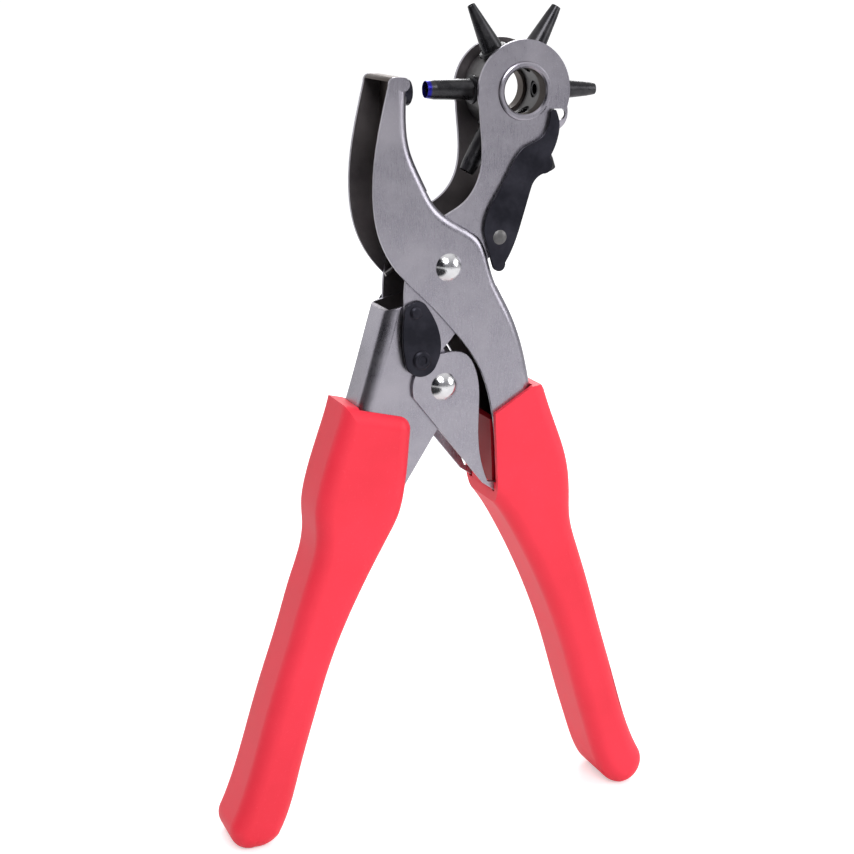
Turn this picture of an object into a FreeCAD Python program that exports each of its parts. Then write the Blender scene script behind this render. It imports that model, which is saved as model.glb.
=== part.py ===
import FreeCAD, Part
import math

# Rotary hole punch: revolving-head punch pliers with a lever linkage.
# Frame: X to the right, Y to the back, Z up; the tool stands on its two handle
# tips at Z = 0 with the punch head up. All sizes are in millimetres.

doc = FreeCAD.newDocument("rotary_hole_punch")
vec = FreeCAD.Vector

# ---------------------------------------------------------------- driving sizes
SIZES = [
    # hub, pivots and link pins, seen from the front
    ("hub_x", 17.9), ("hub_z", 221.7),
    ("main_pivot_x", -4.5), ("main_pivot_z", 173.0),
    ("lever_pivot_x", -4.5), ("lever_pivot_z", 138.0),
    ("link_top_x", -14.3), ("link_top_z", 160.4),
    ("link_low_x", -12.2), ("link_low_z", 146.6),
    ("catch_x", 11.0), ("catch_z", 181.0),
    # sheet thickness and the outer half width of each nested channel
    ("sheet", 1.2), ("slip", 0.1),
    ("jaw_half", 10.3), ("inner_half", 9.0), ("handle_half", 7.7),
    ("jaw_bend", 3.2), ("handle_bend", 3.9), ("inner_bend", 2.6),
    # pins and rivets
    ("rivet_r", 3.0), ("rivet_hole_r", 3.05), ("main_dome_r", 4.0), ("lever_dome_r", 4.1),
    ("dome_rise", 1.8), ("bush_r", 4.4), ("bush_bore_r", 3.08),
    ("top_pin_r", 1.5), ("top_pin_hole_r", 1.66), ("low_pin_r", 1.2), ("low_pin_hole_r", 1.26),
    ("catch_pin_r", 1.5), ("catch_pin_hole_r", 1.56),
    # hub eyelets, drum and punch tubes
    ("eyelet_bore_r", 6.4), ("eyelet_wall_r", 7.22), ("eyelet_rim_r", 8.2), ("eyelet_rise", 0.7),
    ("eyelet_reach", 5.4), ("head_r", 14.2),
    ("drum_r", 11.6), ("drum_half", 7.6), ("drum_bore_r", 7.3), ("tube_thread_r", 2.4),
    ("tube_reach", 26.6), ("tube_flange_r", 4.1), ("tube_flange", 1.3), ("tube_root_r", 3.1),
    # anvil
    ("anvil_back_x", -17.5), ("anvil_face_x", -13.7), ("anvil_z", 221.0), ("anvil_r", 3.7),
    ("anvil_neck_r", 2.7), ("anvil_shank_r", 2.0),
    # grips
    ("left_grip_half", 10.4), ("right_grip_half", 11.9), ("grip_round", 4.6), ("grip_slip", 0.12),
    # springs
    ("opening_coil_r", 5.6), ("opening_wire_r", 0.65), ("catch_coil_r", 1.8), ("catch_wire_r", 0.22),
]
sheet = doc.addObject("Spreadsheet::Sheet", "sizes")
for row, (alias, value) in enumerate(SIZES, start=1):
    sheet.set("A%d" % row, alias)
    sheet.set("B%d" % row, str(value))
    sheet.setAlias("B%d" % row, alias)
doc.recompute()


def size(alias):
    return float(sheet.get(alias))


HUB = (size("hub_x"), size("hub_z"))
MAIN_PIVOT = (size("main_pivot_x"), size("main_pivot_z"))
LEVER_PIVOT = (size("lever_pivot_x"), size("lever_pivot_z"))
LINK_TOP = (size("link_top_x"), size("link_top_z"))
LINK_LOW = (size("link_low_x"), size("link_low_z"))
CATCH = (size("catch_x"), size("catch_z"))
SHEET = size("sheet")
TUBE_SIZES = (4.5, 2.0, 2.5, 3.0, 3.5, 4.0)
NODES = []


# ---------------------------------------------------------------- sketch helpers
def new_body(name, placement=None):
    body = doc.addObject("PartDesign::Body", name)
    body.Label = name
    if placement is not None:
        body.Placement = placement
    return body


def sketch_on(body, name, role="XZ_Plane"):
    plane = [f for f in body.Origin.OriginFeatures if f.Role == role][0]
    sketch = body.newObject("Sketcher::SketchObject", name)
    sketch.AttachmentSupport = (plane, [""])
    sketch.MapMode = "FlatFace"
    return sketch


def flat(point):
    return vec(point[0], point[1], 0)


def smooth(points):
    curve = Part.BSplineCurve()
    curve.interpolate([flat(p) for p in points])
    return curve


def draw(sketch, pieces):
    """Each piece is ("line", a, b, ...), ("arc", a, middle, b), ("curve", a, b, ...) or ("ring", a, radius)."""
    for piece in pieces:
        kind, points = piece[0], piece[1:]
        if kind == "line":
            for a, b in zip(points, points[1:]):
                sketch.addGeometry(Part.LineSegment(flat(a), flat(b)), False)
        elif kind == "arc":
            sketch.addGeometry(Part.Arc(*[flat(p) for p in points]), False)
        elif kind == "curve":
            sketch.addGeometry(smooth(points), False)
        elif kind == "ring":
            ring(sketch, points[0], points[1])


def ring(sketch, centre, radius):
    sketch.addGeometry(Part.Circle(flat(centre), vec(0, 0, 1), radius), False)


def both_ways(feature, sketch, length):
    """Set a pad or pocket to run the same way to each side of the sketch."""
    feature.Profile = sketch
    feature.SideType = "Symmetric"
    feature.setExpression("Length", length)
    return feature


def pad(body, name, pieces, length):
    sketch = sketch_on(body, name + "_outline")
    draw(sketch, pieces)
    return both_ways(body.newObject("PartDesign::Pad", name), sketch, length)


def pocket(body, name, pieces, length):
    sketch = sketch_on(body, name + "_outline")
    draw(sketch, pieces)
    return both_ways(body.newObject("PartDesign::Pocket", name), sketch, length)


def holes(body, name, circles, length="60 mm"):
    sketch = sketch_on(body, name + "_circles")
    for centre, radius in circles:
        ring(sketch, centre, radius)
    return both_ways(body.newObject("PartDesign::Pocket", name), sketch, length)


def edges_where(shape, test):
    return ["Edge%d" % (i + 1) for i, edge in enumerate(shape.Edges) if test(edge)]


def round_edges(body, name, base, radius, test):
    doc.recompute()
    fillet = body.newObject("PartDesign::Fillet", name)
    fillet.Base = (base, edges_where(base.Shape, test))
    fillet.setExpression("Radius", radius)
    return fillet


def middle(edge):
    return edge.valueAt((edge.FirstParameter + edge.LastParameter) / 2.0)


def along_curve(points, level, reach=0.05):
    """A test for the long edges that follow a drawn curve at +/- level in Y."""
    guide = smooth([(p[0], p[1]) for p in points]).toShape()

    def test(edge):
        box = edge.BoundBox
        if abs(abs(box.YMin) - level) > 0.01 or box.YLength > 0.01 or edge.Length < 4.0:
            return False
        spot = middle(edge)
        return guide.distToShape(Part.Vertex(flat((spot.x, spot.z))))[0] < reach

    return test


def shifted(points, distance):
    """Points moved sideways from a smooth curve; a plus distance is to the curve's left."""
    curve = smooth(points)
    moved = []
    for point in points:
        tangent = curve.tangent(curve.parameter(flat(point)))[0]
        moved.append((point[0] - tangent.y * distance, point[1] + tangent.x * distance))
    return moved


def stretched(points, length):
    """The same points with the first and last moved out along their end chords."""
    ends = []
    for a, b in ((points[0], points[1]), (points[-1], points[-2])):
        chord = math.hypot(a[0] - b[0], a[1] - b[1])
        ends.append((a[0] + (a[0] - b[0]) * length / chord, a[1] + (a[1] - b[1]) * length / chord))
    return [ends[0]] + points + [ends[1]]


def around(centre, radius, degrees):
    angle = math.radians(degrees)
    return (centre[0] + radius * math.cos(angle), centre[1] + radius * math.sin(angle))


def arc_about(centre, radius, start, end):
    half = (start + end) / 2.0
    return ("arc", around(centre, radius, start), around(centre, radius, half), around(centre, radius, end))


def keep(obj):
    NODES.append(obj)
    return obj


def turned(name, points, placement, axis="V_Axis", role="XY_Plane"):
    """A body turned from a closed half outline; V_Axis spins about Y, H_Axis about X."""
    body = new_body(name, placement)
    sketch = sketch_on(body, name + "_profile", role)
    draw(sketch, [("line",) + tuple(points) + (points[0],)])
    spin = body.newObject("PartDesign::Revolution", name + "_spin")
    spin.Profile = sketch
    spin.ReferenceAxis = (sketch, [axis])
    spin.Angle = 360.0
    return body


def at(point, y=0.0):
    return FreeCAD.Placement(vec(point[0], y, point[1]), FreeCAD.Rotation())


# ---------------------------------------------------------------- anvil jaw and fixed handle
JAW_WEB = [
    (-17.5, 223.4), (-17.5, 220.0), (-17.5, 216.0), (-16.2, 206.0), (-12.0, 197.0), (-8.0, 190.5),
    (-1.0, 185.6), (5.6, 181.2), (10.2, 170.0), (15.3, 160.4), (19.9, 150.0), (23.4, 136.5),
    (27.2, 116.0), (32.0, 97.0), (41.0, 75.0), (51.6, 50.0), (61.0, 22.0),
]
JAW_RIM = [
    (52.0, 20.0), (43.4, 45.0), (38.4, 60.0), (28.4, 85.6), (18.6, 98.2), (13.6, 107.6), (12.0, 120.0),
    (10.2, 131.5), (5.3, 144.6), (-1.5, 153.6), (-11.1, 163.6), (-20.4, 172.7), (-25.4, 181.5),
    (-27.5, 192.5), (-26.9, 206.0), (-24.9, 217.0), (-23.5, 223.4),
]

STRAP_RIVETS = [(20.2, 101.4), (25.8, 95.8)]


def make_anvil_jaw():
    body = new_body("anvil_jaw")
    outside = pad(body, "jaw_blank", [
        ("curve",) + tuple(JAW_WEB),
        ("line", JAW_WEB[-1], JAW_RIM[0]),
        ("curve",) + tuple(JAW_RIM),
        ("arc", JAW_RIM[-1], (-23.0, 225.0), (-21.4, 225.6)),
        ("line", (-21.4, 225.6), (-19.4, 225.6)),
        ("arc", (-19.4, 225.6), (-18.0, 225.0), JAW_WEB[0]),
    ], "2 * sizes.jaw_half")
    round_edges(body, "jaw_bends", outside, "sizes.jaw_bend",
                        along_curve(JAW_WEB, size("jaw_half")))
    inside = shifted(JAW_WEB, -SHEET)
    floor = stretched(inside, 3.0)[-1]
    pocket(body, "jaw_trough", [
        ("curve",) + tuple(inside),
        ("line", inside[-1], floor, (-60.0, floor[1]), (-60.0, 224.4), (-19.7, 224.4)),
        ("arc", (-19.7, 224.4), (-19.0, 224.1), inside[0]),
    ], "2 * (sizes.jaw_half - sizes.sheet)")
    # the web is open where the punch arm crosses through it
    pocket(body, "jaw_window", [
        ("line", (-30.0, 194.5), (0.0, 194.5), (16.0, 181.0), (16.0, 166.5), (-30.0, 166.5), (-30.0, 194.5)),
    ], "2 * (sizes.jaw_half - sizes.sheet)")
    holes(body, "jaw_pivot_hole", [(MAIN_PIVOT, size("rivet_hole_r"))])
    sketch = sketch_on(body, "anvil_hole_circle", "YZ_Plane")
    ring(sketch, (0.0, size("anvil_z")), size("anvil_shank_r") + 0.03)
    hole = body.newObject("PartDesign::Pocket", "anvil_hole")
    both_ways(hole, sketch, "2 * 26 mm")
    holes(body, "strap_rivet_holes", [(p, 1.53) for p in STRAP_RIVETS])
    return keep(body)


# The two straps that carry the lever pivot are teardrops with a leg inside the right grip.
def make_strap(name, side):
    centre = LEVER_PIVOT
    body = new_body(name, FreeCAD.Placement(vec(0, side * (size("inner_half") - SHEET / 2.0), 0),
                                            FreeCAD.Rotation()))
    outline = [
        arc_about(centre, 9.9, 92.0, 196.0),
        ("line", around(centre, 9.9, 196.0), (9.0, 107.4), (15.2, 103.4), (21.8, 95.6), (26.4, 91.6)),
        ("line", (26.4, 91.6), (29.4, 96.4), (21.4, 104.6), (16.8, 107.2), (10.4, 108.0)),
        ("curve", (10.4, 108.0), (7.7, 116.0), (6.8, 124.0), (6.8, 132.0), (6.4, 138.6), (4.9, 143.6),
         (2.2, 147.2), (-0.8, 148.2), around(centre, 9.9, 92.0)),
    ]
    pad(body, name + "_plate", outline, "sizes.sheet")
    holes(body, name + "_holes", [(centre, size("rivet_hole_r"))] + [(p, 1.53) for p in STRAP_RIVETS])
    return keep(body)


def group(name, members):
    """Several equal pieces kept as one named node."""
    compound = doc.addObject("Part::Compound", name)
    compound.Label = name
    compound.Links = members
    return keep(compound)


def make_anvil():
    back, face = size("anvil_back_x"), size("anvil_face_x")
    r, neck, shank = size("anvil_r"), size("anvil_neck_r"), size("anvil_shank_r")
    profile = [
        (back - SHEET - 0.9, 0.0), (back - SHEET - 0.7, 2.2), (back - SHEET - 0.08, 2.8),
        (back - SHEET - 0.08, shank), (back + 0.08, shank), (back + 0.08, neck), (back + 1.2, neck),
        (back + 1.5, r - 0.3), (back + 1.8, r), (face - 0.35, r), (face, r - 0.35), (face, 0.0),
    ]
    return keep(turned("anvil", profile, at((0.0, size("anvil_z"))), "H_Axis"))


def dome_profile(shaft_r, dome_r, reach, rise):
    """Half outline of a rivet with a domed head at each end, about Y."""
    steps = 8
    ball = (dome_r ** 2 + rise ** 2) / (2.0 * rise)
    points = [(0.0, -(reach + rise))]
    for step in range(1, steps + 1):
        r = dome_r * step / steps
        drop = ball - math.sqrt(ball ** 2 - r ** 2)
        points.append((r, -(reach + rise - drop)))
    points.append((shaft_r, -reach))
    return points + [(r, -y) for r, y in reversed(points)]


def make_rivet(name, centre, dome, reach):
    profile = dome_profile(size("rivet_r"), size(dome), reach, size("dome_rise"))
    return keep(turned(name, profile, at(centre)))


def make_bush(name, centre, half):
    inner, outer = size("bush_bore_r"), size("bush_r")
    profile = [(inner, -half), (outer, -half), (outer, half), (inner, half)]
    return keep(turned(name, profile, at(centre)))


def make_strap_rivets():
    lo, hi = size("inner_half") - SHEET, size("jaw_half")
    profile = [
        (0.0, lo - 0.7), (2.2, lo - 0.5), (2.5, lo - 0.05), (1.5, lo - 0.05),
        (1.5, hi + 0.05), (2.4, hi + 0.05), (2.1, hi + 0.7), (0.0, hi + 0.9),
    ]
    members = []
    for index, centre in enumerate(STRAP_RIVETS, start=1):
        back = turned("strap_rivet_back_%d" % index, profile, at(centre))
        front = doc.addObject("Part::Mirroring", "strap_rivet_front_%d" % index)
        front.Source = back
        front.Normal = vec(0, 1, 0)
        members += [back, front]
    return group("strap_rivets", members)


# ---------------------------------------------------------------- punch arm
ARM_BACK = [(19.2, 196.0), (17.2, 191.5), (15.4, 186.0), (14.4, 181.0)]


def make_punch_arm():
    body = new_body("punch_arm")
    right = around(HUB, size("head_r"), -8.0)
    left = around(HUB, size("head_r"), 198.0)
    outline = [
        arc_about(HUB, size("head_r"), -8.0, 198.0),
        ("curve", left, (5.2, 210.0), (5.6, 203.5), (4.4, 196.8), (0.8, 191.4), (-6.0, 187.2),
         (-13.2, 182.0), (-16.6, 173.0), (-17.3, 165.5), around(LINK_TOP, 3.1, 170.0)),
        arc_about(LINK_TOP, 3.1, 170.0, 262.0),
        ("line", around(LINK_TOP, 3.1, 262.0), (-5.6, 149.0)),
        ("curve", (-5.6, 149.0), (-1.5, 153.6), (2.2, 160.5), (4.2, 168.0), (7.6, 174.4), (11.6, 177.0),
         ARM_BACK[-1]),
        ("curve",) + tuple(reversed(ARM_BACK)),
        ("curve", ARM_BACK[0], (22.6, 203.4), (25.6, 208.0), (28.4, 209.9), (31.0, 211.4), (32.6, 214.4),
         (32.5, 217.4), right),
    ]
    blank = pad(body, "arm_blank", outline, "2 * sizes.inner_half")
    round_edges(body, "arm_bends", blank, "sizes.inner_bend",
                        along_curve(ARM_BACK, size("inner_half")))
    inside = shifted(ARM_BACK, -SHEET)
    upper, lower = inside[0], inside[-1]
    pocket(body, "arm_hollow", [
        ("curve",) + tuple(inside),
        ("line", lower, (40.0, lower[1] + 0.4), (40.0, 140.0), (-40.0, 140.0), (-40.0, 245.0)),
        ("line", (-40.0, 245.0), (40.0, 245.0), (40.0, 195.0), upper),
    ], "2 * (sizes.inner_half - sizes.sheet)")
    holes(body, "arm_holes", [
        (MAIN_PIVOT, size("rivet_hole_r")),
        (LINK_TOP, size("top_pin_hole_r")),
        (CATCH, size("catch_pin_hole_r")),
        (HUB, size("eyelet_wall_r") + 0.03),
    ])
    # slots in the cheeks that the catch nibs sit in
    pocket(body, "nib_slot", [
        ("line", (25.8, 213.5), (29.4, 213.5)),
        ("curve", (29.4, 213.5), (30.4, 214.0), (31.1, 215.2), (30.6, 216.4), (29.6, 216.8)),
        ("line", (29.6, 216.8), (25.8, 216.8), (25.8, 213.5)),
    ], "60 mm")
    # the back web stops short of the circle that the tube tips run round
    pocket(body, "web_top_trim", [
        ("line", (8.0, 194.6), (30.0, 194.6), (30.0, 200.0), (8.0, 200.0), (8.0, 194.6)),
    ], "2 * (sizes.inner_half - sizes.sheet)")
    return keep(body)


def make_eyelet(name, side):
    bore, wall, rim = size("eyelet_bore_r"), size("eyelet_wall_r"), size("eyelet_rim_r")
    face, rise, reach = size("inner_half"), size("eyelet_rise"), size("eyelet_reach")
    profile = [
        (bore, side * reach), (wall, side * reach), (wall, side * (face + 0.02)),
        (rim, side * (face + 0.02)), (rim - 0.15, side * (face + rise - 0.2)),
        (rim - 0.5, side * (face + rise)), (bore + 0.5, side * (face + rise)),
        (bore, side * (face + rise - 0.5)),
    ]
    return keep(turned(name, profile, at(HUB)))


def make_drum():
    outer, half, bore = size("drum_r"), size("drum_half"), size("drum_bore_r")
    profile = [
        (bore, -half), (outer - 0.5, -half), (outer, -half + 0.5), (outer, half - 0.5),
        (outer - 0.5, half), (bore, half),
    ]
    body = turned("turret_drum", profile, at(HUB))
    doc.recompute()
    sketch = sketch_on(body, "tube_seat_circle", "YZ_Plane")
    ring(sketch, (0.0, 0.0), size("tube_thread_r"))
    seat = body.newObject("PartDesign::Pocket", "tube_seats")
    both_ways(seat, sketch, "60 mm")
    spread = body.newObject("PartDesign::PolarPattern", "tube_seat_ring")
    spread.Originals = [seat]
    spread.Axis = ([f for f in body.Origin.OriginFeatures if f.Role == "Y_Axis"][0], [""])
    spread.Angle = 120.0
    spread.Occurrences = 3
    body.Tip = spread
    return keep(body)


def make_tube(hole, angle):
    """A screw-in punch tube that points out from the hub at the given angle."""
    name = "punch_tube_%02d" % round(hole * 10)
    rotation = FreeCAD.Rotation(vec(0, 1, 0), -angle)
    placement = FreeCAD.Placement(vec(HUB[0], 0, HUB[1]), rotation)
    seat_r, root, flange = size("tube_thread_r") - 0.03, size("tube_root_r"), size("tube_flange_r")
    start, tip = size("drum_r") + 0.1, size("tube_reach")
    base = start + size("tube_flange")
    bore, edge = hole / 2.0, hole / 2.0 + 0.12
    inner = min(bore, 1.7)
    profile = [
        (size("drum_bore_r") + 0.1, inner), (size("drum_bore_r") + 0.1, seat_r), (start, seat_r),
        (start, flange - 0.3), (start + 0.3, flange), (base - 0.3, flange), (base, flange - 0.3),
        (base, root), (base + 1.2, root - 0.12),
        (tip - 2.6, edge + 0.42), (tip, edge), (tip, bore), (tip - 3.0, bore),
        (tip - 4.0, inner),
    ]
    return keep(turned(name, profile, placement, "H_Axis"))


CATCH_BACK = [(20.4, 194.8), (19.2, 190.6), (17.8, 185.6), (16.2, 180.4), (13.0, 173.6)]


def make_catch():
    """Index catch: a U strap that wraps the arm's back and carries a nib at its top."""
    body = new_body("index_catch")
    outline = [
        ("curve", (27.4, 216.4), (28.2, 214.4), (28.6, 212.4), (28.4, 209.6), (27.4, 206.2), (25.9, 203.2)),
        ("arc", (25.9, 203.2), (26.6, 200.2), (24.0, 198.7)),
        ("curve", (24.0, 198.7), (21.9, 197.4), CATCH_BACK[0]),
        ("curve",) + tuple(CATCH_BACK),
        ("arc", CATCH_BACK[-1], (11.4, 171.2), (9.4, 172.4)),
        ("curve", (9.4, 172.4), (7.8, 177.2), (6.2, 182.2)),
        ("curve", (6.2, 182.2), (7.4, 188.8), (10.4, 194.2), (13.0, 198.9), (15.4, 203.4), (18.0, 206.3)),
        ("curve", (18.0, 206.3), (21.1, 207.7), (23.7, 209.3), (25.1, 212.0), (25.7, 215.6)),
        ("arc", (25.7, 215.6), (26.4, 216.6), (27.4, 216.4)),
    ]
    pad(body, "catch_blank", outline, "2 * sizes.jaw_half")
    inside = shifted(CATCH_BACK, -SHEET)
    sketch_pieces = [
        ("curve",) + tuple(inside),
        ("line", inside[-1], (40.0, inside[-1][1] - 0.4), (40.0, 150.0), (-20.0, 150.0), (-20.0, 230.0)),
        ("line", (-20.0, 230.0), (50.0, 230.0), (50.0, 193.4), (inside[0][0] + 1.4, 193.4), inside[0]),
    ]
    pocket(body, "catch_hollow", sketch_pieces, "2 * (sizes.jaw_half - sizes.sheet + 0.06)")
    holes(body, "catch_pivot_hole", [(CATCH, size("catch_pin_hole_r"))])
    # nibs folded in from both cheeks; each sits in the arm's slot, just clear of the drum's flank
    nib = [("line", (26.3, 216.1), (27.7, 216.1), (27.7, 214.6), (26.3, 214.6), (26.3, 216.1))]
    pad(body, "nib_block", nib, "2 * (sizes.jaw_half - 0.6)")
    pocket(body, "nib_gap", nib, "2 * (sizes.drum_half + 0.3)")
    return keep(body)


def make_catch_pin():
    reach = size("jaw_half")
    profile = dome_profile(size("catch_pin_r"), 2.1, reach + 0.05, 0.5)
    return keep(turned("catch_pin", profile, at(CATCH)))


# ---------------------------------------------------------------- links
def make_link(name, side):
    body = new_body(name, FreeCAD.Placement(vec(0, side * (size("jaw_half") - SHEET / 2.0 + 0.05), 0),
                                            FreeCAD.Rotation()))
    outline = [
        ("curve", around(LINK_LOW, 4.9, -20.0), (-6.3, 150.2), (-7.6, 156.4), (-11.0, 162.2)),
        ("arc", (-11.0, 162.2), (-12.6, 163.5), (-15.2, 163.2)),
        ("arc", (-15.2, 163.2), (-17.3, 162.0), (-17.8, 159.6)),
        ("curve", (-17.8, 159.6), (-18.1, 153.4), around(LINK_LOW, 4.9, 196.0)),
        arc_about(LINK_LOW, 4.9, 196.0, 340.0),
    ]
    pad(body, name + "_plate", outline, "sizes.sheet - 0.1")
    doc.recompute()
    holes(body, name + "_holes", [(LINK_TOP, size("top_pin_r") + 0.02), (LINK_LOW, size("low_pin_r") + 0.04)])
    return keep(body)


def pin_group(name, centre, r, head_r, inner_end, dimple_r=0.0):
    outer = size("jaw_half") + 0.07
    profile = [
        (0.0, inner_end), (r, inner_end), (r, outer), (head_r, outer),
        (head_r, outer + 0.25), (head_r - 0.5, outer + 0.6),
    ]
    if dimple_r > 0.0:
        profile += [(dimple_r, outer + 0.65), (dimple_r - 0.3, outer + 0.35), (0.0, outer + 0.3)]
    else:
        profile.append((0.0, outer + 0.75))
    back = turned(name + "_back", profile, at(centre))
    front = doc.addObject("Part::Mirroring", name + "_front")
    front.Source = back
    front.Normal = vec(0, 1, 0)
    return group(name, [back, front])


# ---------------------------------------------------------------- moving handle
HANDLE_WEB = [
    (-22.3, 160.6), (-25.0, 150.6), (-29.6, 134.0), (-35.6, 113.0), (-38.6, 98.0), (-43.6, 79.0),
    (-54.6, 46.0), (-62.5, 20.0),
]
HANDLE_EDGE = [(-50.5, 20.0), (-46.5, 36.0), (-39.2, 60.0), (-29.6, 82.0), (-21.0, 99.0), (-15.2, 109.8)]


def make_left_handle():
    body = new_body("left_handle")
    nose = 8.3
    outline = [
        ("curve",) + tuple(HANDLE_WEB),
        ("line", HANDLE_WEB[-1], HANDLE_EDGE[0]),
        ("curve",) + tuple(HANDLE_EDGE),
        ("line", HANDLE_EDGE[-1], (-6.2, 124.4), around(LEVER_PIVOT, nose, -42.0)),
        arc_about(LEVER_PIVOT, nose, -42.0, 65.0),
        ("curve", around(LEVER_PIVOT, nose, 65.0), (-5.6, 150.4), (-8.8, 158.6)),
        ("arc", (-8.8, 158.6), (-9.8, 161.8), (-12.6, 163.2)),
        ("line", (-12.6, 163.2), HANDLE_WEB[0]),
    ]
    blank = pad(body, "handle_blank", outline, "2 * sizes.handle_half")
    round_edges(body, "handle_bends", blank, "sizes.handle_bend",
                        along_curve(HANDLE_WEB, size("handle_half")))
    inside = stretched(shifted(HANDLE_WEB, SHEET), 4.0)
    pocket(body, "handle_trough", [
        ("curve",) + tuple(inside),
        ("line", inside[-1], (30.0, inside[-1][1]), (30.0, inside[0][1]), inside[0]),
    ], "2 * (sizes.handle_half - sizes.sheet)")
    holes(body, "handle_holes", [
        (LEVER_PIVOT, size("rivet_hole_r")), (LINK_LOW, size("low_pin_r") + 0.04),
    ])
    return keep(body)


# ---------------------------------------------------------------- grips
LEFT_OUTER = [
    (-34.4, 134.2), (-38.4, 120.9), (-41.7, 109.6), (-42.8, 102.0), (-42.5, 95.5), (-43.3, 89.0),
    (-46.1, 80.0), (-50.8, 64.0),
    (-55.9, 48.0), (-60.5, 32.0), (-65.4, 16.0), (-68.1, 9.2),
]
LEFT_INNER = [
    (-54.2, 3.0), (-51.6, 8.5), (-47.2, 24.0), (-42.8, 40.0), (-38.0, 56.0), (-31.5, 72.0),
    (-25.0, 85.0), (-20.1, 94.0), (-17.0, 100.4), (-15.6, 106.4), (-14.6, 115.0), (-13.9, 125.6),
]
RIGHT_OUTER = [
    (28.4, 134.0), (32.9, 122.7), (36.8, 111.6), (38.1, 102.0), (38.7, 94.0), (41.4, 85.0),
    (46.0, 72.0), (51.2, 56.0),
    (56.6, 40.0), (62.0, 24.0), (65.4, 16.0), (68.3, 10.6),
]
RIGHT_INNER = [
    (61.6, 0.0), (57.2, 1.9), (53.0, 8.0), (49.7, 16.5), (44.4, 32.0), (39.3, 48.0), (33.2, 64.0),
    (25.4, 80.5), (20.2, 90.0), (15.4, 97.6), (12.8, 101.0),
]


def make_grip(name, outline, half, is_soft, cavities):
    """A moulded grip; is_soft picks the outline edges that are rounded, by their boxes."""
    body = new_body(name)
    blank = pad(body, name + "_blank", outline, "2 * sizes." + half)
    level = size(half)

    def rim(edge):
        box = edge.BoundBox
        return box.YLength < 0.01 and abs(abs(box.YMin) - level) < 0.01 and is_soft(box)

    round_edges(body, name + "_soft_edges", blank, "sizes.grip_round", rim)
    for index, (pieces, length) in enumerate(cavities, start=1):
        pocket(body, "%s_hollow_%d" % (name, index), pieces, length)
    return keep(body)


def make_left_grip():
    outline = [
        ("curve",) + tuple(LEFT_OUTER),
        ("arc", LEFT_OUTER[-1], (-67.6, 2.2), (-61.8, 0.1)),
        ("arc", (-61.8, 0.1), (-57.6, 0.7), LEFT_INNER[0]),
        ("curve",) + tuple(LEFT_INNER),
        ("arc", LEFT_INNER[-1], (-14.8, 128.6), (-17.6, 130.4)),
        ("line", (-17.6, 130.4), LEFT_OUTER[0]),
    ]
    outer = shifted(HANDLE_WEB, -size("grip_slip"))
    inner = shifted(HANDLE_EDGE, -size("grip_slip"))
    space = [
        ("curve",) + tuple(outer),
        ("line", outer[-1], (outer[-1][0] - 0.1, 19.8), (inner[0][0] + 0.1, 19.8), inner[0]),
        ("curve",) + tuple(inner),
        ("line", inner[-1], (10.0, 150.0), (10.0, 175.0), outer[0]),
    ]
    return make_grip("left_grip", outline, "left_grip_half", lambda box: box.ZMin < 125.0,
                     [(space, "2 * (sizes.handle_half + sizes.grip_slip)")])


def make_right_grip():
    outline = [
        ("curve",) + tuple(RIGHT_OUTER),
        ("arc", RIGHT_OUTER[-1], (66.8, 2.2), RIGHT_INNER[0]),
        ("curve",) + tuple(RIGHT_INNER),
        ("line", RIGHT_INNER[-1], (12.6, 104.0), (12.0, 113.0), (10.8, 129.2)),
        ("line", (10.8, 129.2), (22.6, 136.7), (26.0, 136.9), RIGHT_OUTER[0]),
    ]
    outer = shifted(JAW_WEB, size("grip_slip"))
    inner = shifted(JAW_RIM, size("grip_slip"))
    space = [
        ("curve",) + tuple(outer),
        ("line", outer[-1], (outer[-1][0] + 0.1, outer[-1][1] - 0.2), (inner[0][0] - 0.1, inner[0][1] - 0.2),
         inner[0]),
        ("curve",) + tuple(inner),
        ("line", inner[-1], outer[0]),
    ]
    notch = [("line", (-10.0, 107.5), (19.0, 107.5), (19.0, 140.0), (-10.0, 140.0), (-10.0, 107.5))]
    leg = [("line", (9.0, 106.8), (15.0, 102.9), (21.5, 94.9), (26.6, 90.9), (30.4, 96.6), (21.8, 105.4),
            (17.0, 108.0), (9.0, 109.0), (9.0, 106.8))]
    heads = [("ring", centre, 2.6) for centre in STRAP_RIVETS]
    body = make_grip("right_grip", outline, "right_grip_half", lambda box: box.ZMin < 100.9, [
        (space, "2 * (sizes.jaw_half + sizes.grip_slip)"),
        (notch, "2 * (sizes.jaw_half + sizes.grip_slip)"),
        (leg, "2 * (sizes.inner_half + sizes.grip_slip)"),
        (heads, "2 * (sizes.jaw_half + 1)"),
    ])
    # a tongue of the grip runs up between the straps and closes the channel's mouth
    pad(body, "grip_tongue", [
        ("line", (14.2, 99.4), (16.6, 99.4), (15.4, 106.0), (13.8, 126.5), (11.2, 126.5), (12.2, 113.0),
         (12.7, 104.0), (13.0, 101.0), (14.2, 99.4)),
    ], "2 * (sizes.inner_half - sizes.sheet - 0.4)")
    return body


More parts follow.
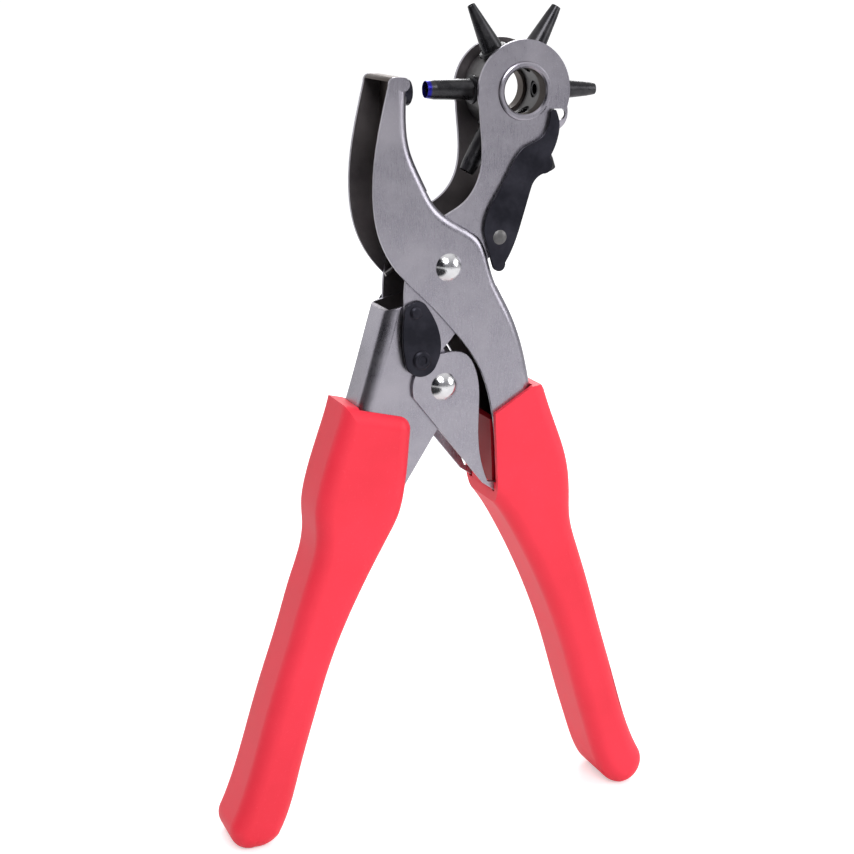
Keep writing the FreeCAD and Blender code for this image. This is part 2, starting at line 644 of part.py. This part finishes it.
# ---------------------------------------------------------------- springs
def coil(name, centre, radius, wire, half, lean, loops, reach):
    """A torsion spring about Y: a coil whose two ends run straight off it.

    lean holds the two directions (degrees from +X towards +Z) the ends point in,
    reach their lengths; the coil fills -half..half and makes loops full turns and a part.
    """
    first = math.radians(lean[0] + 90.0)
    last = math.radians(lean[1] - 90.0)
    while last < first:
        last += 2.0 * math.pi
    last += 2.0 * math.pi * loops
    steps = 10 * (loops + 1)

    def on_coil(share):
        angle = first + (last - first) * share
        return vec(radius * math.cos(angle), -half + 2.0 * half * share, radius * math.sin(angle))

    def run_off(start, degrees, length):
        angle = math.radians(degrees)
        return start + vec(length * math.cos(angle), 0, length * math.sin(angle))

    points = [run_off(on_coil(0.0), lean[0], reach[0]), run_off(on_coil(0.0), lean[0], 0.5 * reach[0])]
    points += [on_coil(step / steps) for step in range(steps + 1)]
    points += [run_off(on_coil(1.0), lean[1], 0.5 * reach[1]), run_off(on_coil(1.0), lean[1], reach[1])]
    path = Part.BSplineCurve()
    path.interpolate(points)
    begin = path.value(path.FirstParameter)
    heading = path.tangent(path.FirstParameter)[0]
    section = Part.Wire([Part.makeCircle(wire, begin, heading)])
    spring = doc.addObject("Part::Feature", name)
    spring.Label = name
    spring.Shape = Part.Wire([path.toShape()]).makePipeShell([section], True, True)
    spring.Placement = FreeCAD.Placement(vec(centre[0], 0, centre[1]), FreeCAD.Rotation())
    return keep(spring)


def make_springs():
    coil("opening_spring", MAIN_PIVOT, size("opening_coil_r"), size("opening_wire_r"), 4.5,
         (-47.0, 219.0), 4, (16.0, 13.0))
    coil("catch_spring", CATCH, size("catch_coil_r"), size("catch_wire_r"), 3.0,
         (72.0, 262.0), 5, (8.0, 5.0))


make_anvil_jaw()
make_anvil()
make_strap("pivot_strap_front", -1)
make_strap("pivot_strap_back", 1)
make_strap_rivets()
make_rivet("main_rivet", MAIN_PIVOT, "main_dome_r", size("jaw_half") + 0.04)
make_bush("main_bush", MAIN_PIVOT, size("inner_half") - SHEET - 0.05)
make_rivet("lever_rivet", LEVER_PIVOT, "lever_dome_r", size("inner_half") + 0.04)
make_bush("lever_bush", LEVER_PIVOT, size("handle_half") - SHEET - 0.05)
make_right_grip()
make_punch_arm()
make_eyelet("hub_eyelet_front", -1)
make_eyelet("hub_eyelet_back", 1)
make_drum()
for index, hole in enumerate(TUBE_SIZES):
    make_tube(hole, 180.0 - 60.0 * index)
make_catch()
make_catch_pin()
make_link("link_front", -1)
make_link("link_back", 1)
pin_group("link_top_pins", LINK_TOP, size("top_pin_r"), 1.75, size("inner_half") - SHEET)
pin_group("link_low_pins", LINK_LOW, size("low_pin_r"), 2.7, size("handle_half") - SHEET, 1.4)
make_left_handle()
make_left_grip()
make_springs()
doc.recompute()

# ---------------------------------------------------------------- checks and export
for obj in doc.Objects:
    if "Invalid" in obj.State or "Error" in obj.State:
        raise RuntimeError("%s is %s" % (obj.Label, obj.State))
for node in NODES:
    shape = node.Shape
    if shape.isNull() or not shape.isValid():
        raise RuntimeError("%s has a bad shape" % node.Label)
    print("%-20s solids %d volume %.1f" % (node.Label, len(shape.Solids), shape.Volume))
    shape.exportStep("parts/%s.step" % node.Label)
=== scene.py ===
import math

import bpy
from mathutils import Matrix, Vector


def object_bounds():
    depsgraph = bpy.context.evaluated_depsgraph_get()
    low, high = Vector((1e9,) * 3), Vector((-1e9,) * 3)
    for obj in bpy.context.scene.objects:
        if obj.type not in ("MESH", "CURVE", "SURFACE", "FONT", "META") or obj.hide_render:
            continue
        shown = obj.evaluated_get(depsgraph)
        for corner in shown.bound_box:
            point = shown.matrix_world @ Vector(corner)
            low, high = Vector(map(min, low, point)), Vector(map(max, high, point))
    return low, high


# Rotary hole punch (revolving-head punch pliers): materials, softened edges, light and
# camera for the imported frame, whose nodes are all the geometry that the tool needs.
# Metres; X to the right, Y to the back, Z up; the tool stands on its grip tips.

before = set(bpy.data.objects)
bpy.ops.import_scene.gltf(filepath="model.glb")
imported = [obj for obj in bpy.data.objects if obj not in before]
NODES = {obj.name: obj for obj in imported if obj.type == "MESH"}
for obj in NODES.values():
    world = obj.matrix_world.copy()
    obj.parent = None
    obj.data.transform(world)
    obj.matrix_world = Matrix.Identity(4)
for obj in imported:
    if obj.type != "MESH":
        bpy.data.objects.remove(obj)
CAD_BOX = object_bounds()
SCENE = bpy.context.scene

# ---------------------------------------------------------------- camera
VIEW_TURN = math.radians(23.0)      # the camera stands this far round to the tool's left
VIEW_DROP = math.radians(15.3)      # and looks down this much
VIEW_ROLL = math.radians(1.3)
VIEW_DISTANCE = 0.482               # to the point it looks at, on the tool's middle plane
VIEW_SHIFT = (-0.0058, 0.0010)      # that point's place in X and Z from the middle of the tool
VIEW_LENS, VIEW_SENSOR = 68.7, 36.0


def make_camera():
    low, high = CAD_BOX
    middle = (low + high) / 2.0
    aim = Vector((middle.x + VIEW_SHIFT[0], 0.0, middle.z + VIEW_SHIFT[1]))
    forward = Vector((math.sin(VIEW_TURN) * math.cos(VIEW_DROP),
                      math.cos(VIEW_TURN) * math.cos(VIEW_DROP), -math.sin(VIEW_DROP)))
    level = Vector((math.cos(VIEW_TURN), -math.sin(VIEW_TURN), 0.0))
    upright = level.cross(forward)
    right = level * math.cos(VIEW_ROLL) + upright * math.sin(VIEW_ROLL)
    up = right.cross(forward)
    data = bpy.data.cameras.new("camera")
    data.lens, data.sensor_width = VIEW_LENS, VIEW_SENSOR
    data.clip_start, data.clip_end = 0.01, 200.0
    camera = bpy.data.objects.new("camera", data)
    SCENE.collection.objects.link(camera)
    turn = Matrix((right, up, -forward)).transposed().to_4x4()
    camera.matrix_world = Matrix.Translation(aim - forward * VIEW_DISTANCE) @ turn
    SCENE.camera = camera


make_camera()


# ---------------------------------------------------------------- material helpers
MASK_EDGE = 0.0001                  # a mask by position fades within this distance of its limit
WEB_FADE = (-0.3, -0.2)             # how far a face looks outward where the painted shade on a channel's inside ends


class Nodes:
    """A small wrapper that builds one node material."""

    def __init__(self, name):
        self.material = bpy.data.materials.new(name)
        self.material.use_nodes = True
        self.tree = self.material.node_tree
        self.shader = self.tree.nodes["Principled BSDF"]
        self.place = self.add("ShaderNodeTexCoord").outputs["Object"]

    def add(self, kind, **values):
        node = self.tree.nodes.new(kind)
        for key, value in values.items():
            setattr(node, key, value)
        return node

    def link(self, out, into):
        self.tree.links.new(out, into)

    def set(self, **values):
        """Set uniform values on the shader's own sockets."""
        for key, value in values.items():
            self.shader.inputs[key.replace("_", " ")].default_value = value

    def feed(self, socket, out):
        """Drive one of the shader's sockets with another node's output."""
        self.link(out, self.shader.inputs[socket])

    def axes(self, vector=None):
        """The X, Y and Z of a vector, or of the place on the piece."""
        node = self.add("ShaderNodeSeparateXYZ")
        self.link(vector or self.place, node.inputs["Vector"])
        return node.outputs

    def stretched(self, scale, turn):
        mapping = self.add("ShaderNodeMapping")
        mapping.inputs["Scale"].default_value = scale
        mapping.inputs["Rotation"].default_value = turn
        self.link(self.place, mapping.inputs["Vector"])
        return mapping.outputs["Vector"]

    def noise(self, scale, detail, rough, vector=None):
        node = self.add("ShaderNodeTexNoise")
        node.inputs["Scale"].default_value = scale
        node.inputs["Detail"].default_value = detail
        node.inputs["Roughness"].default_value = rough
        self.link(vector or self.place, node.inputs["Vector"])
        return node.outputs["Fac"]

    def spread(self, value, low, high, to_low, to_high):
        """Map low..high to to_low..to_high, clamped at both ends."""
        node = self.add("ShaderNodeMapRange")
        for key, number in zip(("From Min", "From Max", "To Min", "To Max"), (low, high, to_low, to_high)):
            node.inputs[key].default_value = number
        self.link(value, node.inputs["Value"])
        return node.outputs["Result"]

    def maths(self, operation, a, b):
        node = self.add("ShaderNodeMath", operation=operation)
        for socket, value in zip(node.inputs, (a, b)):
            if isinstance(value, float):
                socket.default_value = value
            else:
                self.link(value, socket)
        return node.outputs["Value"]

    def mix(self, share, a, b):
        node = self.add("ShaderNodeMix", data_type="RGBA")
        self.link(share, node.inputs["Factor"])
        for socket, value in ((node.inputs["A"], a), (node.inputs["B"], b)):
            if isinstance(value, tuple):
                socket.default_value = value + (1.0,)
            else:
                self.link(value, socket)
        return node.outputs["Result"]

    def tone(self, value, low, high, a, b):
        """A colour that runs from a to b as value goes from low to high."""
        return self.mix(self.spread(value, low, high, 0.0, 1.0), a, b)

    def inside(self, half, side):
        """1 on faces nearer the middle plane than half that do not look to -side along X."""
        away = self.maths("ABSOLUTE", self.axes()["Y"], 0.0)
        near = self.spread(away, half - MASK_EDGE, half + MASK_EDGE, 1.0, 0.0)
        look = self.axes(self.add("ShaderNodeTexCoord").outputs["Normal"])
        toward = self.maths("MULTIPLY", look["X"], side)
        return self.maths("MULTIPLY", near, self.spread(toward, *WEB_FADE, 0.0, 1.0))

    def bump(self, height, strength, distance, under=None):
        node = self.add("ShaderNodeBump")
        node.inputs["Strength"].default_value = strength
        node.inputs["Distance"].default_value = distance
        self.link(height, node.inputs["Height"])
        if under is not None:
            self.link(under, node.inputs["Normal"])
        return node.outputs["Normal"]


# ---------------------------------------------------------------- materials
def plated_steel(name="plated_steel_look", half=None, side=0.0):
    """Satin nickel plate on pressed sheet: tumbled grain, faint drawn scratches, soft stains.

    With half, faces nearer the middle plane than half get painted shade: a dark colour for the
    shade inside a channel, and a rougher finish. Faces that look to -side along X, the outside of the web,
    stay bright.
    """
    m = Nodes(name)
    cloud = m.noise(55.0, 5.0, 0.62)
    grain = m.noise(2600.0, 2.0, 0.5)
    drawn = m.noise(1.0, 3.0, 0.7, m.stretched((5200.0, 5200.0, 260.0), (0.0, 0.42, 0.0)))
    tone = m.tone(cloud, 0.35, 0.68, (0.34, 0.325, 0.375), (0.44, 0.42, 0.47))
    fleck = m.mix(m.spread(grain, 0.56, 0.72, 0.0, 0.35), tone, (0.56, 0.54, 0.60))
    satin = m.maths("ADD", m.spread(cloud, 0.3, 0.7, 0.24, 0.34), m.spread(drawn, 0.3, 0.7, -0.04, 0.06))
    m.set(Metallic=1.0)
    if half is None:
        m.feed("Base Color", fleck)
        m.feed("Roughness", satin)
    else:
        # painted shade: a dark colour mixed in on the channel's inside, standing in for the shade there
        shade_share = m.inside(half, side)
        painted_shade = m.tone(cloud, 0.35, 0.68, (0.085, 0.070, 0.064), (0.14, 0.12, 0.11))
        m.feed("Base Color", m.mix(shade_share, fleck, painted_shade))
        m.feed("Roughness", m.maths("ADD", satin, m.maths("MULTIPLY", shade_share, 0.22)))
    coarse = m.bump(drawn, 0.10, 0.00003)
    m.feed("Normal", m.bump(grain, 0.16, 0.00002, coarse))
    return m.material


def black_steel():
    """Blackened steel: nearly black with a cold sheen, greyer where it has been rubbed."""
    m = Nodes("black_steel_look")
    cloud = m.noise(120.0, 5.0, 0.6)
    grain = m.noise(3200.0, 2.0, 0.5)
    tone = m.tone(cloud, 0.4, 0.75, (0.012, 0.012, 0.019), (0.034, 0.033, 0.046))
    m.feed("Base Color", tone)
    m.set(Metallic=0.75)
    m.feed("Roughness", m.spread(cloud, 0.3, 0.7, 0.30, 0.46))
    m.feed("Normal", m.bump(grain, 0.22, 0.00002))
    return m.material


def tube_steel(name="tube_steel_look", tip=None):
    """Hardened, oiled tube steel; tip holds the X range over which a heat-blued edge fades out."""
    m = Nodes(name)
    cloud = m.noise(260.0, 4.0, 0.6)
    grain = m.noise(3600.0, 2.0, 0.5)
    tone = m.tone(cloud, 0.35, 0.7, (0.030, 0.030, 0.034), (0.070, 0.068, 0.072))
    m.feed("Base Color", tone)
    m.set(Metallic=0.85)
    m.feed("Roughness", m.spread(cloud, 0.3, 0.7, 0.22, 0.36))
    m.feed("Normal", m.bump(grain, 0.18, 0.00002))
    if tip is not None:
        blued = m.spread(m.axes()["X"], tip[0], tip[1], 1.0, 0.0)
        m.feed("Base Color", m.mix(blued, tone, (0.020, 0.018, 0.30)))
    return m.material


def drum_steel():
    """Turned steel inside the head, dull from oil."""
    m = Nodes("drum_steel_look")
    cloud = m.noise(180.0, 4.0, 0.6)
    grain = m.noise(3000.0, 2.0, 0.5)
    tone = m.tone(cloud, 0.35, 0.7, (0.12, 0.118, 0.12), (0.20, 0.196, 0.20))
    m.feed("Base Color", tone)
    m.set(Metallic=0.9)
    m.feed("Roughness", m.spread(cloud, 0.3, 0.7, 0.34, 0.5))
    m.feed("Normal", m.bump(grain, 0.2, 0.00002))
    return m.material


def bright_rivet():
    """Polished nickel on the rivet heads, with fine handling marks."""
    m = Nodes("bright_rivet_look")
    cloud = m.noise(300.0, 4.0, 0.6)
    marks = m.noise(1.0, 3.0, 0.7, m.stretched((4200.0, 900.0, 1800.0), (0.3, 0.5, 0.2)))
    tone = m.tone(cloud, 0.35, 0.7, (0.66, 0.655, 0.68), (0.80, 0.795, 0.81))
    m.feed("Base Color", tone)
    m.set(Metallic=1.0)
    m.feed("Roughness", m.spread(marks, 0.3, 0.75, 0.10, 0.24))
    m.feed("Normal", m.bump(marks, 0.08, 0.00002))
    return m.material


def spring_steel():
    """Bright drawn wire."""
    m = Nodes("spring_steel_look")
    cloud = m.noise(500.0, 4.0, 0.6)
    tone = m.tone(cloud, 0.35, 0.7, (0.22, 0.215, 0.22), (0.38, 0.37, 0.37))
    m.feed("Base Color", tone)
    m.set(Metallic=1.0)
    m.feed("Roughness", m.spread(cloud, 0.3, 0.7, 0.22, 0.36))
    m.feed("Normal", m.bump(cloud, 0.1, 0.00002))
    return m.material


def grip_red(name="grip_red_look", mouth=None):
    """Soft coral-red vinyl: satin skin with a very fine pebble and slow colour drift.

    mouth holds a half width, a height and an X: what is inside the first, above the second
    and left of the third, the grip's tongue between the straps, gets painted shade.
    """
    m = Nodes(name)
    drift = m.noise(22.0, 4.0, 0.55)
    pebble = m.noise(1500.0, 3.0, 0.55)
    ripple = m.noise(150.0, 2.0, 0.5)
    tone = m.tone(drift, 0.35, 0.68, (0.86, 0.030, 0.056), (0.97, 0.040, 0.074))
    specks = m.mix(m.spread(pebble, 0.62, 0.75, 0.0, 0.35), tone, (0.98, 0.075, 0.11))
    m.feed("Base Color", specks)
    if mouth is not None:
        half, floor, side = mouth
        spot = m.axes()
        near = m.spread(m.maths("ABSOLUTE", spot["Y"], 0.0), half, half + MASK_EDGE, 1.0, 0.0)
        high = m.spread(spot["Z"], floor, floor + MASK_EDGE, 0.0, 1.0)
        inner = m.spread(spot["X"], side, side + MASK_EDGE, 1.0, 0.0)
        shade = m.maths("MULTIPLY", m.maths("MULTIPLY", near, high), inner)
        # painted shade: a near-black red on the tongue between the straps, standing in for its shadow
        m.feed("Base Color", m.mix(shade, specks, (0.30, 0.002, 0.010)))
    m.set(Specular_IOR_Level=0.32)
    m.feed("Roughness", m.spread(drift, 0.3, 0.7, 0.40, 0.50))
    soft = m.bump(ripple, 0.10, 0.0002)
    m.feed("Normal", m.bump(pebble, 0.20, 0.00004, soft))
    return m.material


LOOKS = {
    "plated_steel": plated_steel(), "black_steel": black_steel(), "tube_steel": tube_steel(),
    "drum_steel": drum_steel(), "bright_rivet": bright_rivet(), "spring_steel": spring_steel(),
    "grip_red": grip_red(),
}
BLUED_TIP = (-0.0079, -0.0074)          # X range over which the active tube's blued end fades out
GRIP_MOUTH_SHADE = (0.0076, 0.1070, 0.0180)   # half width, lower end and right side of the grip's tongue that gets painted shade
# half width of the painted shade inside, and the way along X that the channel is open (0 for a ring)
SHADED_INSIDES = {
    "hub_eyelet_front": (0.0092, 0.0), "hub_eyelet_back": (0.0092, 0.0),
    "anvil_jaw": (0.00915, -1.0), "punch_arm": (0.00785, -1.0), "left_handle": (0.00655, 1.0),
}


def dress(name, look):
    for slot in NODES[name].material_slots:
        slot.material = look


for node in NODES.values():
    for slot in node.material_slots:
        slot.material = LOOKS[slot.material.name.split(".")[0]]
dress("punch_tube_45", tube_steel("blued_tube_look", BLUED_TIP))
dress("right_grip", grip_red("right_grip_look", GRIP_MOUTH_SHADE))
# painted shade inside the channels of the jaws and the left handle, and inside the hub eyelets
for name, (half, side) in SHADED_INSIDES.items():
    dress(name, plated_steel(name + "_look", half, side))


# ---------------------------------------------------------------- softened edges on the CAD nodes
EDGE_WIDTHS = {
    "anvil_jaw": 0.00030, "punch_arm": 0.00030, "left_handle": 0.00030,
    "pivot_strap_front": 0.00050, "pivot_strap_back": 0.00050, "index_catch": 0.00035,
    "link_front": 0.00022, "link_back": 0.00022,
}
EDGE_ANGLE = math.radians(35.0)
WELD_REACH = 0.000002


def soften(name, width):
    """Break a pressed piece's sharp edges with a small rounded bevel that catches the light."""
    node = NODES[name]
    weld = node.modifiers.new("weld", "WELD")
    weld.merge_threshold = WELD_REACH
    bevel = node.modifiers.new("edge", "BEVEL")
    bevel.width, bevel.segments = width, 2
    bevel.limit_method, bevel.angle_limit = "ANGLE", EDGE_ANGLE
    bevel.use_clamp_overlap = True
    bevel.harden_normals = True


for name, width in EDGE_WIDTHS.items():
    soften(name, width)


# ---------------------------------------------------------------- studio
FLOOR_REACH = 60.0
FLOOR_GLOW = 0.62                   # how much of its own colour the floor adds for the camera
FLAG_SPOT = (-0.56, -0.27, 0.0)     # the middle of a dark round patch that only reflections see
FLAG_FULL, FLAG_GONE = 0.48, 0.54   # the radii at which the patch starts and ends to fade
CEILING, DARK_SIDE, BRIGHT_SIDE = (0.0, 0.3, 1.0), (-0.86, -0.35, 0.05), (-0.62, 0.78, 0.1)
LIGHT_AIM = Vector((0.0, 0.0, 0.12))
LIGHTS = {                          # place, diameter and watts
    "key": ((-0.20, -0.85, 0.85), 0.55, 6.0),
    "fill": ((0.85, -0.55, 0.45), 0.60, 2.6),
    "rim": ((0.35, 0.75, 0.75), 0.50, 4.5),
}


def make_stage():
    """A pale floor that glows a little for the camera and shows reflections a dark patch."""
    corners = [(x * FLOOR_REACH, y * FLOOR_REACH, 0) for x, y in ((-1, -1), (1, -1), (1, 1), (-1, 1))]
    mesh = bpy.data.meshes.new("floor")
    mesh.from_pydata(corners, [], [(0, 1, 2, 3)])
    floor = bpy.data.objects.new("floor", mesh)
    SCENE.collection.objects.link(floor)
    m = Nodes("floor_look")
    cloud = m.noise(1.5, 3.0, 0.5)
    pale = m.mix(cloud, (0.80, 0.80, 0.805), (0.83, 0.83, 0.83))
    ray = m.add("ShaderNodeLightPath")
    gap = m.add("ShaderNodeVectorMath", operation="DISTANCE")
    m.link(m.place, gap.inputs[0])
    gap.inputs[1].default_value = FLAG_SPOT
    patch = m.spread(gap.outputs["Value"], FLAG_FULL, FLAG_GONE, 1.0, 0.0)
    flag = m.maths("MULTIPLY", patch, ray.outputs["Is Glossy Ray"])
    m.feed("Base Color", m.mix(flag, pale, (0.010, 0.010, 0.012)))
    m.feed("Emission Color", pale)
    glow = m.maths("MULTIPLY", ray.outputs["Is Camera Ray"], FLOOR_GLOW)
    m.feed("Emission Strength", glow)
    m.set(Roughness=0.85)
    mesh.materials.append(m.material)


def make_world():
    """A plain pale studio. The camera sees it evenly white; light and reflections see a grey
    room with a pale ceiling, a dark side at the front left and a bright one at the back left.
    """
    world = bpy.data.worlds.new("studio")
    world.use_nodes = True
    SCENE.world = world
    tree = world.node_tree
    tree.nodes.clear()
    out = tree.nodes.new("ShaderNodeOutputWorld")
    place = tree.nodes.new("ShaderNodeTexCoord")

    def facing(direction, low, high):
        dot = tree.nodes.new("ShaderNodeVectorMath")
        dot.operation = "DOT_PRODUCT"
        tree.links.new(place.outputs["Generated"], dot.inputs[0])
        dot.inputs[1].default_value = Vector(direction).normalized()
        ramp = tree.nodes.new("ShaderNodeMapRange")
        ramp.interpolation_type = "SMOOTHSTEP"
        for key, number in zip(("From Min", "From Max", "To Min", "To Max"), (low, high, 0.0, 1.0)):
            ramp.inputs[key].default_value = number
        tree.links.new(dot.outputs["Value"], ramp.inputs["Value"])
        return ramp.outputs["Result"]

    def blend(share, a, b):
        node = tree.nodes.new("ShaderNodeMix")
        node.data_type = "RGBA"
        tree.links.new(share, node.inputs["Factor"])
        for socket, value in ((node.inputs["A"], a), (node.inputs["B"], b)):
            if isinstance(value, tuple):
                socket.default_value = value + (1.0,)
            else:
                tree.links.new(value, socket)
        return node.outputs["Result"]

    room = blend(facing(CEILING, -0.2, 0.9), (0.26, 0.26, 0.275), (0.85, 0.85, 0.85))
    room = blend(facing(DARK_SIDE, 0.60, 0.80), room, (0.012, 0.012, 0.016))
    room = blend(facing(BRIGHT_SIDE, 0.80, 0.95), room, (0.95, 0.95, 0.95))
    light = tree.nodes.new("ShaderNodeBackground")
    tree.links.new(room, light.inputs["Color"])
    seen = tree.nodes.new("ShaderNodeBackground")
    seen.inputs["Color"].default_value = (0.99, 0.99, 0.99, 1.0)
    ray = tree.nodes.new("ShaderNodeLightPath")
    choose = tree.nodes.new("ShaderNodeMixShader")
    tree.links.new(ray.outputs["Is Camera Ray"], choose.inputs["Fac"])
    tree.links.new(light.outputs["Background"], choose.inputs[1])
    tree.links.new(seen.outputs["Background"], choose.inputs[2])
    tree.links.new(choose.outputs["Shader"], out.inputs["Surface"])


def area_light(name, spot, size, watts):
    data = bpy.data.lights.new(name, "AREA")
    data.shape, data.size, data.energy = "DISK", size, watts
    lamp = bpy.data.objects.new(name, data)
    SCENE.collection.objects.link(lamp)
    lamp.location = spot
    lamp.rotation_mode = "QUATERNION"
    lamp.rotation_quaternion = (LIGHT_AIM - Vector(spot)).to_track_quat("-Z", "Y")


make_stage()
make_world()
for name, (spot, size, watts) in LIGHTS.items():
    area_light(name, spot, size, watts)
SCENE.view_settings.view_transform = "Standard"
